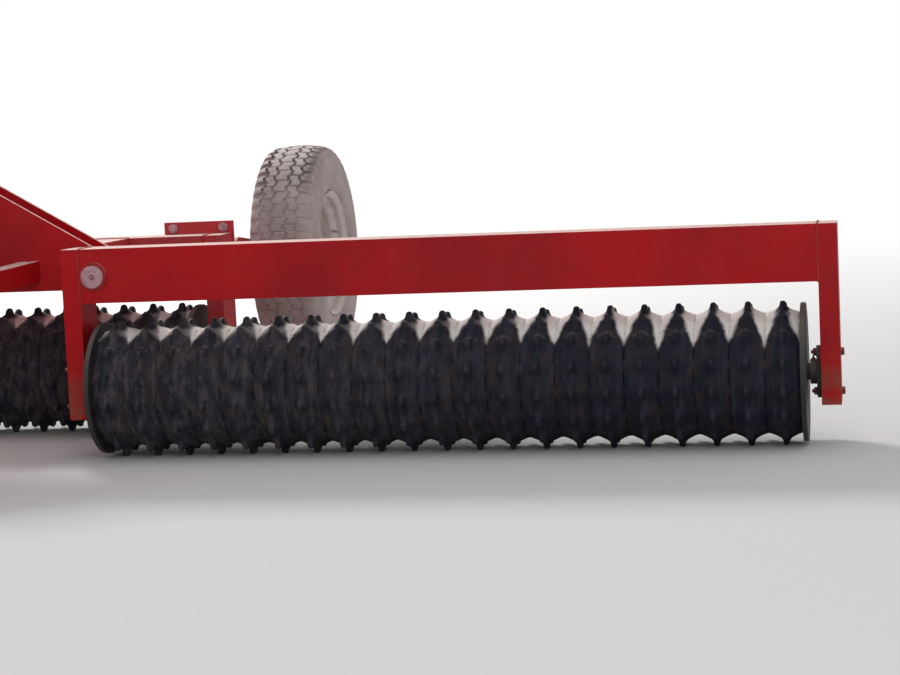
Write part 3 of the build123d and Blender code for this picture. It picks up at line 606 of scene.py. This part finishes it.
# %% Turned and hexagonal shapes
def turned(profile, foot, axis, sides=24, corners=0):
    """Grid of a turned shape on a foot point: rows go round, and the columns are the profile's
    points (height along the axis, radius). With corners the radius is that of a polygon's flats."""
    axis = np.array(axis, float) / np.linalg.norm(axis)
    helper = np.array([0, 0, 1.0]) if abs(axis[2]) < 0.9 else np.array([1.0, 0, 0])
    first = np.cross(axis, helper)
    first /= np.linalg.norm(first)
    second = np.cross(axis, first)
    turn = 2 * pi * np.arange(sides) / sides
    height, radius = np.array(profile, float).T
    spread = np.ones(sides)
    if corners:
        spread = 1 / np.cos((turn + pi / corners) % (2 * pi / corners) - pi / corners)
    reach = radius[None, :] * spread[:, None]
    around = np.cos(turn)[:, None, None] * first + np.sin(turn)[:, None, None] * second
    return np.array(foot) + height[None, :, None] * axis + reach[..., None] * around


def bolt_head(foot, axis, flats):
    """A washer, a hexagon head with its chamfer, and a slightly domed top, in half flats."""
    washer = np.array([(0, 0), (0, 1.32), (0.22, 1.32), (0.26, 1.26), (0.26, 0)]) * flats / 2
    head = np.array([(0.2, 0), (0.2, 1), (0.95, 1), (1.08, 0.86), (1.1, 0)]) * flats / 2
    return [turned(washer, foot, axis, 18), turned(head, foot, axis, 12, 6)]


def nut_and_end(foot, axis, flats, reach=1.7):
    """A washer, a nut, and the bolt's rounded end, which stands out to reach times half the flats."""
    end = [(1, 0), (1, 0.58), (reach, 0.58), (reach + 0.16, 0.46), (reach + 0.18, 0)]
    return bolt_head(foot, axis, flats) + [turned(np.array(end) * flats / 2, foot, axis, 12)]


def nipple(foot, axis):
    """A grease nipple: a small hexagon with a waisted, ball-ended head."""
    base = [(0, 0), (0, 0.0065), (0.005, 0.0065), (0.005, 0)]
    head = [(0.004, 0), (0.005, 0.004), (0.009, 0.0028), (0.012, 0.0042), (0.0145, 0.0028), (0.015, 0)]
    return [turned(base, foot, axis, 12, 6), turned(head, foot, axis, 10)]


print("a nut and its bolt end:", [grid.shape for grid in nut_and_end((0, 0, 0), (0, 0, 1), 0.024)])

# %% [markdown]
# A weld is a rippled bead in the corner between two plates. The ripple is the bead's radius rising
# and falling along its path, so one array gives all beads of a frame.

# %% Weld beads
BEAD_STEP = 0.007
BEAD_SIDES = 8
RIPPLE = 0.13
RIPPLE_SCATTER = 0.3
ROUND_STEPS = 48


def bead(path, size):
    """Grid of a bead along a closed path of corners, in steps of BEAD_STEP. Its radius is size times
    1 + RIPPLE times a sine of the length run, and BEAD_SIDES points lie round the path."""
    looped = np.vstack([path, path[:1]])
    legs = np.diff(looped, axis=0)
    lengths = np.linalg.norm(legs, axis=1)
    total = lengths.sum()
    count = int(total / BEAD_STEP)
    run = np.linspace(0, total, count, endpoint=False)
    ends = np.concatenate([[0], np.cumsum(lengths)])
    centre = np.stack([np.interp(run, ends, looped[:, axis]) for axis in range(3)], -1)
    tangent = np.roll(centre, -1, 0) - np.roll(centre, 1, 0)
    tangent /= np.linalg.norm(tangent, axis=1)[:, None]
    normal = np.cross(legs[0], legs[1])
    normal = normal / np.linalg.norm(normal)
    sideways = np.cross(tangent, normal)
    turn = 2 * pi * np.arange(BEAD_SIDES) / BEAD_SIDES
    phase = pi * run / BEAD_STEP + random.normal(0, RIPPLE_SCATTER, count)
    radius = size * (1 + RIPPLE * np.sin(phase))
    around = np.cos(turn)[None, :, None] * normal + np.sin(turn)[None, :, None] * sideways[:, None, :]
    return centre[:, None, :] + radius[:, None, None] * around


def face_bead(low, high, axis, at):
    """A bead round a box's section, in the plane where the axis' coordinate is at."""
    first, second = [other for other in range(3) if other != axis]
    corners = np.full((4, 3), float(at))
    corners[:, first] = [low[first], high[first], high[first], low[first]]
    corners[:, second] = [low[second], low[second], high[second], high[second]]
    return bead(corners, 0.0042)


def joint_bead(beam, leg, x):
    """A bead round a beam's section where it meets a leg's face at x."""
    low, high = corners_of(beam)
    leg_low, leg_high = corners_of(leg)
    return face_bead((0, leg_low[1], low[2]), (0, leg_high[1], high[2]), 0, x)


def ring_bead(centre, radius):
    """A bead round a tube along X, of this radius about centre."""
    turn = 2 * pi * np.arange(ROUND_STEPS) / ROUND_STEPS
    return bead(np.array(centre) + radius * np.stack([0 * turn, np.cos(turn), np.sin(turn)], -1), 0.005)


def make_welds(name, seams, body):
    """All the beads of one body in one piece."""
    make_piece(name, seams, body, weld_paint, joined=True)


print("weld beads: one ripple in", 2 * BEAD_STEP * 1000, "mm")

# %% [markdown]
# Legs are welded to the beams, and two bolts hold each bearing to its leg. Low heads lie on the far
# face of the outer and centre legs, with the nuts on the flange. An inner leg has them the other way
# round, with long bolt ends, as the photo shows. Everything on a wing rides with that wing.

# %% Bearing bolts
SIDES = (("right", 1), ("left", -1))
BOLT_SPREAD = 0.071
FLANGE_W = 0.016
LONG_REACH, SHORT_REACH = 2.5, 1.5
LONG_NUT, LONG_HEAD, LOW_HEAD = 0.030, 0.026, 0.024
NIPPLE_IN, NIPPLE_UP = 0.028, 0.045


def bearing_bolts(leg, bearing, out, reach=0):
    """Two bolts through a leg: nuts on the bearing's flange and low heads on the leg's far face, or,
    with a reach, heads on the flange and long bolt ends with their nuts on the far face."""
    low, high = corners_of(leg)
    out_x, in_x = (high[0], low[0]) if out > 0 else (low[0], high[0])
    centre = middle_of(bearing)
    outwards, inwards = (out, 0, 0), (-out, 0, 0)
    made = []
    for lift in (-BOLT_SPREAD, BOLT_SPREAD):
        far_face = (out_x, centre[1], centre[2] + lift)
        flange = (in_x - out * FLANGE_W, centre[1], centre[2] + lift)
        if reach:
            made += nut_and_end(far_face, outwards, LONG_NUT, reach)
            made += bolt_head(flange, inwards, LONG_HEAD)
        else:
            made += bolt_head(far_face, outwards, LOW_HEAD)
            made += nut_and_end(flange, inwards, LOW_HEAD, SHORT_REACH)
    neck_top = (in_x - out * NIPPLE_IN, centre[1], centre[2] + NIPPLE_UP)
    return made + nipple(neck_top, (0, 0, 1))


# %% Bolts and beads on the legs
for side, sign in SIDES:
    parts, seams = [], []
    for which, out, reach in (("inner", -sign, LONG_REACH), ("outer", sign, 0)):
        leg = f"leg_{which}_{side}"
        parts += bearing_bolts(leg, f"bearing_{which}_{side}", out, reach)
        seams.append(joint_bead("wing_beam_" + side, leg, corners_of(leg)[out < 0][0]))
    make_piece(f"bearing_bolts_{side}", parts, f"wing_{side}", bolt_painted)
    make_welds(f"beam_welds_{side}", seams, f"wing_{side}")
parts, seams = [], []
for side, sign in SIDES:
    leg = "leg_centre_" + side
    parts += bearing_bolts(leg, "bearing_centre_" + side, sign)
    seams.append(joint_bead("centre_beam", leg, corners_of(leg)[sign < 0][0]))
make_piece("bearing_bolts_centre", parts, "frame", bolt_painted)
make_welds("beam_welds_centre", seams, "frame")

# %% [markdown]
# The axle's bracket plates are clamped behind the centre beam by large bolts over and under it, and
# a screw at each end keeps the fold cylinders' base pins in place. The fold pins have a drilled
# head with a nipple in it, and a washer lies between head and boss.

# %% Bracket bolts, pin keepers and pin heads
BRACKET_BOLTS_IN = (0.038, 0.042)
BRACKET_BOLT_LIFT = 0.024
BRACKET_FLATS, KEEPER_FLATS = 0.030, 0.022
KEEPER_SUNK = 0.001
PIN_R = 0.020
pin_head = [
    (-0.004, 0), (-0.004, 0.008), (-0.001, 0.0085), (0.0022, 0.010), (0.0022, 0.0405),
    (0.001, 0.0425), (0, 0.0425), (0, 0),
]
pin_washer = [
    (-0.0145, 0.044), (-0.0145, 0.0535), (-0.0125, 0.0545), (-0.0112, 0.0535), (-0.0112, 0.044),
    (-0.0145, 0.044),
]
beam_low, beam_high = corners_of("centre_beam")
pins_low, pins_high = corners_of("fold_base_pins")
pins_x, pins_z = pins_high[0] - PIN_R, (pins_low[2] + pins_high[2]) / 2
parts = []
for side, sign in SIDES:
    low, high = corners_of("axle_bracket_" + side)
    for x in (low[0] + BRACKET_BOLTS_IN[0], high[0] - BRACKET_BOLTS_IN[1]):
        for z in (beam_high[2] + BRACKET_BOLT_LIFT, beam_low[2] - BRACKET_BOLT_LIFT):
            parts += bolt_head((x, low[1], z), (0, -1, 0), BRACKET_FLATS)
    for y, way in ((pins_low[1], -1), (pins_high[1], 1)):
        parts += bolt_head((sign * pins_x, y - way * KEEPER_SUNK, pins_z), (0, way, 0), KEEPER_FLATS)
make_piece("bracket_bolts", parts, "frame", pin_steel)

for side, sign in SIDES:
    centre = middle_of("fold_pin_" + side)
    centre[1] = corners_of("fold_pin_" + side)[0][1]
    parts = [turned(pin_head, centre, (0, -1, 0), 40)] + nipple(centre + (0, 0.003, 0), (0, -1, 0))
    make_piece("pin_head_" + side, parts, "wing_" + side, pin_steel)
    washer = turned(pin_washer, centre, (0, -1, 0), 40)
    make_piece("pin_washer_" + side, [washer], "wing_" + side, weld_paint)

# %% [markdown]
# The frame is welded: side arms run from the headstock to the centre beam, the cross tube joins the
# plates, and the axle's tube carries an arm at each end. Each joint gets its bead.

# %% Welds of the centre frame and the axle
ARM_ROOT_R = 0.075
AXLE_TUBE_R = 0.057
AXLE_Z = 0.700
seams = []
for side in ("right", "left"):
    low, high = corners_of("side_arm_" + side)
    seams += [face_bead(low, high, 1, low[1]), face_bead(low, high, 1, high[1])]
front_low, front_high = corners_of("headstock_front")
rear_y = corners_of("headstock_rear")[0][1]
tube_low, tube_high = corners_of("headstock_tube")
seams += [face_bead(tube_low, tube_high, 1, front_high[1]), face_bead(tube_low, tube_high, 1, rear_y)]
bar_low, bar_high = corners_of("drawbar")
bar_low[2] = bar_high[2] - (bar_high[0] - bar_low[0])
seams.append(face_bead(bar_low, bar_high, 1, front_low[1]))
make_welds("frame_welds", seams, "frame")

seams = []
for side, sign in SIDES:
    arm_low, arm_high = corners_of("axle_arm_" + side)
    x = sign * min(abs(arm_low[0]), abs(arm_high[0]))
    seams.append(ring_bead((x, arm_low[1] + ARM_ROOT_R, AXLE_Z), AXLE_TUBE_R))
make_welds("axle_welds", seams, "axle")

# %% [markdown]
# Each cylinder is a barrel with a screwed gland at its open end, a ring weld at its base and two
# ports closed by hexagon plugs. Its axis runs from its base pin to the rod's eye, and both ends
# are read from the solids' boxes.

# %% Glands, ports and plugs of the cylinders
BASE_RING_AT = 0.064
PORT_FROM_BASE, PORT_FROM_END = 0.095, 0.055
PORT_SUNK = 0.003
gland = [
    (-0.030, 0), (-0.030, 1.0), (-0.028, 1.045), (0.004, 1.045), (0.007, 1.0), (0.007, 0.62),
    (0.010, 0.55), (0.010, 0),
]
base_ring = [(-0.004, 0), (-0.004, 1.0), (0.0, 1.035), (0.006, 1.0), (0.006, 0)]
port_boss = [(0, 0), (0, 0.017), (0.010, 0.017), (0.012, 0.015), (0.012, 0)]
port_plug = [(0.011, 0), (0.011, 0.0095), (0.020, 0.0095), (0.0215, 0.008), (0.0215, 0)]


def dress_cylinder(name, barrel, base, eye, radius, length):
    """Gland, base weld and two plugged ports on a barrel whose axis runs from base to eye. The ports
    stand on its upper side: straight up, less its part along the axis."""
    axis = (eye - base) / np.linalg.norm(eye - base)
    upper = np.array([0, 0, 1.0]) - axis[2] * axis
    upper /= np.linalg.norm(upper)
    parts = []
    for profile, run in ((gland, length), (base_ring, BASE_RING_AT)):
        parts.append(turned(np.array(profile) * (1, radius), base + run * axis, axis, 36))
    for run in (PORT_FROM_BASE, length - PORT_FROM_END):
        foot = base + run * axis + (radius - PORT_SUNK) * upper
        parts += [turned(port_boss, foot, upper, 16), turned(port_plug, foot, upper, 12, 6)]
    make_piece(name, parts, barrel, black_paint)


# %% Two fold cylinders and the lift cylinder
EYE_R = 0.034
FOLD_R, FOLD_LENGTH = 0.054, 0.430
LIFT_R, LIFT_LENGTH = 0.045, 0.400
LIFT_BASE_Z = 0.900
LIFT_LEVER_R = 0.200
LIFT_LEVER_TURN = radians(105)
for side, sign in SIDES:
    rod_low, rod_high = corners_of("fold_rod_" + side)
    depth = (rod_low[1] + rod_high[1]) / 2
    base = np.array([sign * pins_x, depth, pins_z])
    eye_x = rod_high[0] - EYE_R if sign > 0 else rod_low[0] + EYE_R
    eye = np.array([eye_x, depth, rod_low[2] + EYE_R])
    dress_cylinder("fold_gland_" + side, "fold_barrel_" + side, base, eye, FOLD_R, FOLD_LENGTH)
base = np.array([0, corners_of("lift_barrel")[0][1] + EYE_R, LIFT_BASE_Z])
eye_y = corners_of("lift_rod")[1][1] - EYE_R
eye = np.array([0, eye_y, AXLE_Z + LIFT_LEVER_R * sin(LIFT_LEVER_TURN)])
dress_cylinder("lift_gland", "lift_barrel", base, eye, LIFT_R, LIFT_LENGTH)

# %% [markdown]
# The towing eye's plate is held by four nuts. The jack is wound by a crank, a bent rod with a
# turned grip, whose path is a chain of straight runs with round bends.


# %% Rods with bends
def rod_along(path, radius, normal, sides=12):
    """Grid of a rod along a flat path of points, closed at both ends; normal is square to the path."""
    tangent = np.gradient(path, axis=0)
    tangent /= np.linalg.norm(tangent, axis=1)[:, None]
    normal = np.array(normal, float)
    sideways = np.cross(tangent, normal)
    turn = 2 * pi * np.arange(sides) / sides
    around = np.cos(turn)[:, None, None] * normal + np.sin(turn)[:, None, None] * sideways[None]
    first, last = (np.tile(path[end], (sides, 1, 1)) for end in (0, -1))
    return np.concatenate([first, path[None] + radius * around, last], 1)


def bent(corners, radius, steps=6):
    """Path through corners whose bends are arcs: each is the quadratic curve with its corner."""
    share = np.linspace(0, 1, steps)[:, None]
    path = [corners[:1]]
    for before, corner, after in zip(corners[:-2], corners[1:-1], corners[2:]):
        start = corner + radius * (before - corner) / np.linalg.norm(before - corner)
        end = corner + radius * (after - corner) / np.linalg.norm(after - corner)
        path.append((1 - share) ** 2 * start + 2 * share * (1 - share) * corner + share ** 2 * end)
    return np.concatenate(path + [corners[-1:]])


# %% Hitch nuts, jack crank and its grip
HITCH_PLATE_W = 0.020
HITCH_NUT_SPREAD = 0.058
HITCH_FLATS = 0.030
JACK_TUBE_R = 0.040
CRANK_R, CRANK_BEND = 0.0075, 0.022
GRIP_LENGTH = 0.084
hitch_z = middle_of("hitch_eye")[2]
parts = []
for x in (-HITCH_NUT_SPREAD, HITCH_NUT_SPREAD):
    for lift in (-HITCH_NUT_SPREAD, HITCH_NUT_SPREAD):
        parts += nut_and_end((x, bar_low[1] - HITCH_PLATE_W, hitch_z + lift), (0, -1, 0), HITCH_FLATS)
make_piece("hitch_nuts", parts, "frame", bolt_zinc)

jack_low, jack_high = corners_of("jack_tube")
jack_top = np.array([jack_low[0] + JACK_TUBE_R, (jack_low[1] + jack_high[1]) / 2, jack_high[2]])
cap = [(0, 0), (0, 0.030), (0.006, 0.030), (0.010, 0.026), (0.014, 0.014), (0.020, 0.013), (0.020, 0)]
corners = jack_top + np.array([(0, 0, 0.012), (0, 0, 0.050), (0, -0.140, 0.050), (0, -0.140, 0.150)])
crank = rod_along(bent(corners, CRANK_BEND), CRANK_R, (1, 0, 0))
make_piece("jack_crank", [turned(cap, jack_top, (0, 0, 1), 24), crank], "frame", jack_grey)
grip = [
    (0, 0), (0.001, 0.012), (0.010, 0.0145), (0.050, 0.0135), (0.078, 0.0145), (0.086, 0.012),
    (0.088, 0),
]
grip = turned(grip, corners[3] - (0, 0, GRIP_LENGTH), (0, 0, 1), 20)
make_piece("jack_grip", [grip], "frame", black_paint)

# %% [markdown]
# The rim's edge is rolled round a wire, the hub is closed by a pressed cap, and six nuts on studs
# hold the disc, with a valve beside them. All are turned shapes: the edges and the cap on the
# wheel's axle, the nuts on a circle around it.

# %% Rolled rim edges, hub caps and wheel nuts
ROLL_R = 0.0042
ROLL_IN = 0.003
CAP_OUT = 0.0655
NUT_CIRCLE_R, NUT_OUT, WHEEL_NUT = 0.098, 0.026, 0.024
VALVE_AT = (0.075, 0.2, 0.085)
edge_turn = 2 * pi * np.arange(9) / 8
cap_profile = [
    (0.0, 0.0), (0.0, 0.050), (0.006, 0.053), (0.010, 0.050), (0.012, 0.043), (0.026, 0.041),
    (0.034, 0.035), (0.038, 0.022), (0.039, 0.0),
]
valve_profile = [(0, 0), (0, 0.006), (0.02, 0.005), (0.021, 0.004), (0.034, 0.004), (0.036, 0)]
for side, sign in SIDES:
    wheel = "wheel_" + side
    hub = middle_of("tyre_" + side)
    rim_low, rim_high = corners_of("rim_" + side)
    edge_x = (rim_high[0] - rim_low[0]) / 2 - ROLL_IN
    edge_r = (rim_high[2] - rim_low[2]) / 2 - ROLL_R
    edges = []
    for way in (-1, 1):
        roll = ROLL_R * np.stack([np.cos(edge_turn), np.sin(edge_turn)], -1)
        edges.append(turned((way * edge_x, edge_r) + roll, hub, (1, 0, 0), 96))
    make_piece("rim_edges_" + side, edges, wheel, rim_paint)
    cap = turned(cap_profile, hub + (sign * CAP_OUT, 0, 0), (sign, 0, 0), 40)
    make_piece("hub_cap_" + side, [cap], wheel, black_paint)
    fixings = []
    for turn in 2 * pi * np.arange(6) / 6:
        foot = hub + (sign * NUT_OUT, NUT_CIRCLE_R * cos(turn), NUT_CIRCLE_R * sin(turn))
        fixings += nut_and_end(foot, (sign, 0, 0), WHEEL_NUT)
    valve_foot = hub + np.array(VALVE_AT) * (sign, 1, 1)
    fixings.append(turned(valve_profile, valve_foot, (sign, -0.35, -0.15), 12))
    make_piece("wheel_nuts_" + side, fixings, wheel, bolt_zinc)

# %% [markdown]
# The solids keep their shapes and only change their skins. The frame behind the wings is dustier,
# because the rings throw dirt on it, and its red is painted lighter than the wings' red, against the
# shade it stands in.

# %% Finishes on the solids
skins = {
    "wing_": red_near, "leg_": red_near, "headstock": red_near, "leg_centre": red_far_lightened, "side_arm": red_far_lightened,
    "centre_beam": red_far_lightened, "axle_bracket": red_far_lightened, "axle_": red_far_lightened, "drawbar": red_near,
    "fold_lever": red_near, "lift_base": red_near, "bearing_": bearing_iron, "shaft_": shaft_steel,
    "fold_pin": pin_steel, "fold_base_pins": pin_steel, "fold_barrel": black_paint,
    "lift_barrel": black_paint, "fold_rod": chrome, "lift_rod": chrome, "jack_": jack_grey,
    "hitch_eye": bearing_iron, "rim_": rim_paint, "rings_right": iron_wing, "rings_left": iron_wing,
    "rings_centre": iron_centre, "tyre_": tyre_rubber,
}
for node_name, solid in nodes.items():
    match = max((key for key in skins if node_name.startswith(key)), key=len)
    solid.data.materials.clear()
    solid.data.materials.append(skins[match])
print("dressed solids:", len(nodes))

# %% [markdown]
# The studio is plain: a pale floor that keeps the object's shadow, a soft lamp above and behind, as
# the low sun stands in such a field, and a weaker and larger one in front. The floor fades to white
# only for the camera and for reflections, so the light on the machine stays at its plain level.

# %% Floor
FLOOR_HALF = 60.0
FLOOR_DROP = 0.0005


def seen_share(flow):
    """1 for what the camera or a reflection sees, and 0 for the light that falls on the machine."""
    straight = flow.node("ShaderNodeLightPath", {}, {}, "Is Camera Ray")
    return straight + flow.node("ShaderNodeLightPath", {}, {}, "Is Glossy Ray")


floor_points = np.array([(-1, -1, 0), (1, -1, 0), (1, 1, 0), (-1, 1, 0)]) * FLOOR_HALF
floor_points -= (0, 0, FLOOR_DROP)
floor_mesh = bpy.data.meshes.new("floor")
floor_mesh.from_pydata(floor_points.tolist(), [], [(0, 1, 2, 3)])
floor = add_object("floor", floor_mesh)
floor_material, place, facing = start_finish("floor_pale")
matt = place.node("ShaderNodeBsdfDiffuse", {}, {"Color": paint(226, 224, 220)})
white = place.node("ShaderNodeEmission", {}, {"Color": (1, 1, 1, 1), "Strength": 1.0})
share = place.length().rise(4.5, 13.0) * seen_share(place)
close_tree(place.node("ShaderNodeMixShader", {}, {0: share, 1: matt, 2: white}))
floor_mesh.materials.append(floor_material)
print("floor:", 2 * FLOOR_HALF, "m wide")

# %% World and lamps
world = bpy.data.worlds.new("studio")
bpy.context.scene.world = world
bpy.context.scene.view_settings.view_transform = "Standard"
world.use_nodes = True
world.node_tree.nodes.clear()
sky = Flow(world.node_tree)
soft = sky.node("ShaderNodeBackground", {}, {"Color": paint(238, 240, 246), "Strength": 0.62})
plain = sky.node("ShaderNodeBackground", {}, {"Color": (1, 1, 1, 1), "Strength": 1.0})
both = sky.node("ShaderNodeMixShader", {}, {0: seen_share(sky), 1: soft, 2: plain})
close_tree(both, "ShaderNodeOutputWorld")


def lamp(name, at, towards, size, power):
    """A square area lamp that looks at a point."""
    light = bpy.data.lights.new(name, "AREA")
    light.size = size
    light.energy = power
    back = np.array(at, float) - towards
    back /= np.linalg.norm(back)
    side = np.cross((0, 0, 1.0), back)
    side /= np.linalg.norm(side)
    aim(add_object(name, light), at, side, np.cross(back, side), back)
    print(f"{name}: {power} W from {at}")


lamp("sun_side", (-4.6, 9.6, 7.6), (1.4, 0.6, 0.4), 2.4, 1180)
lamp("front_fill", (4.5, -8.0, 5.0), (1.2, 0.4, 0.4), 5.0, 130)
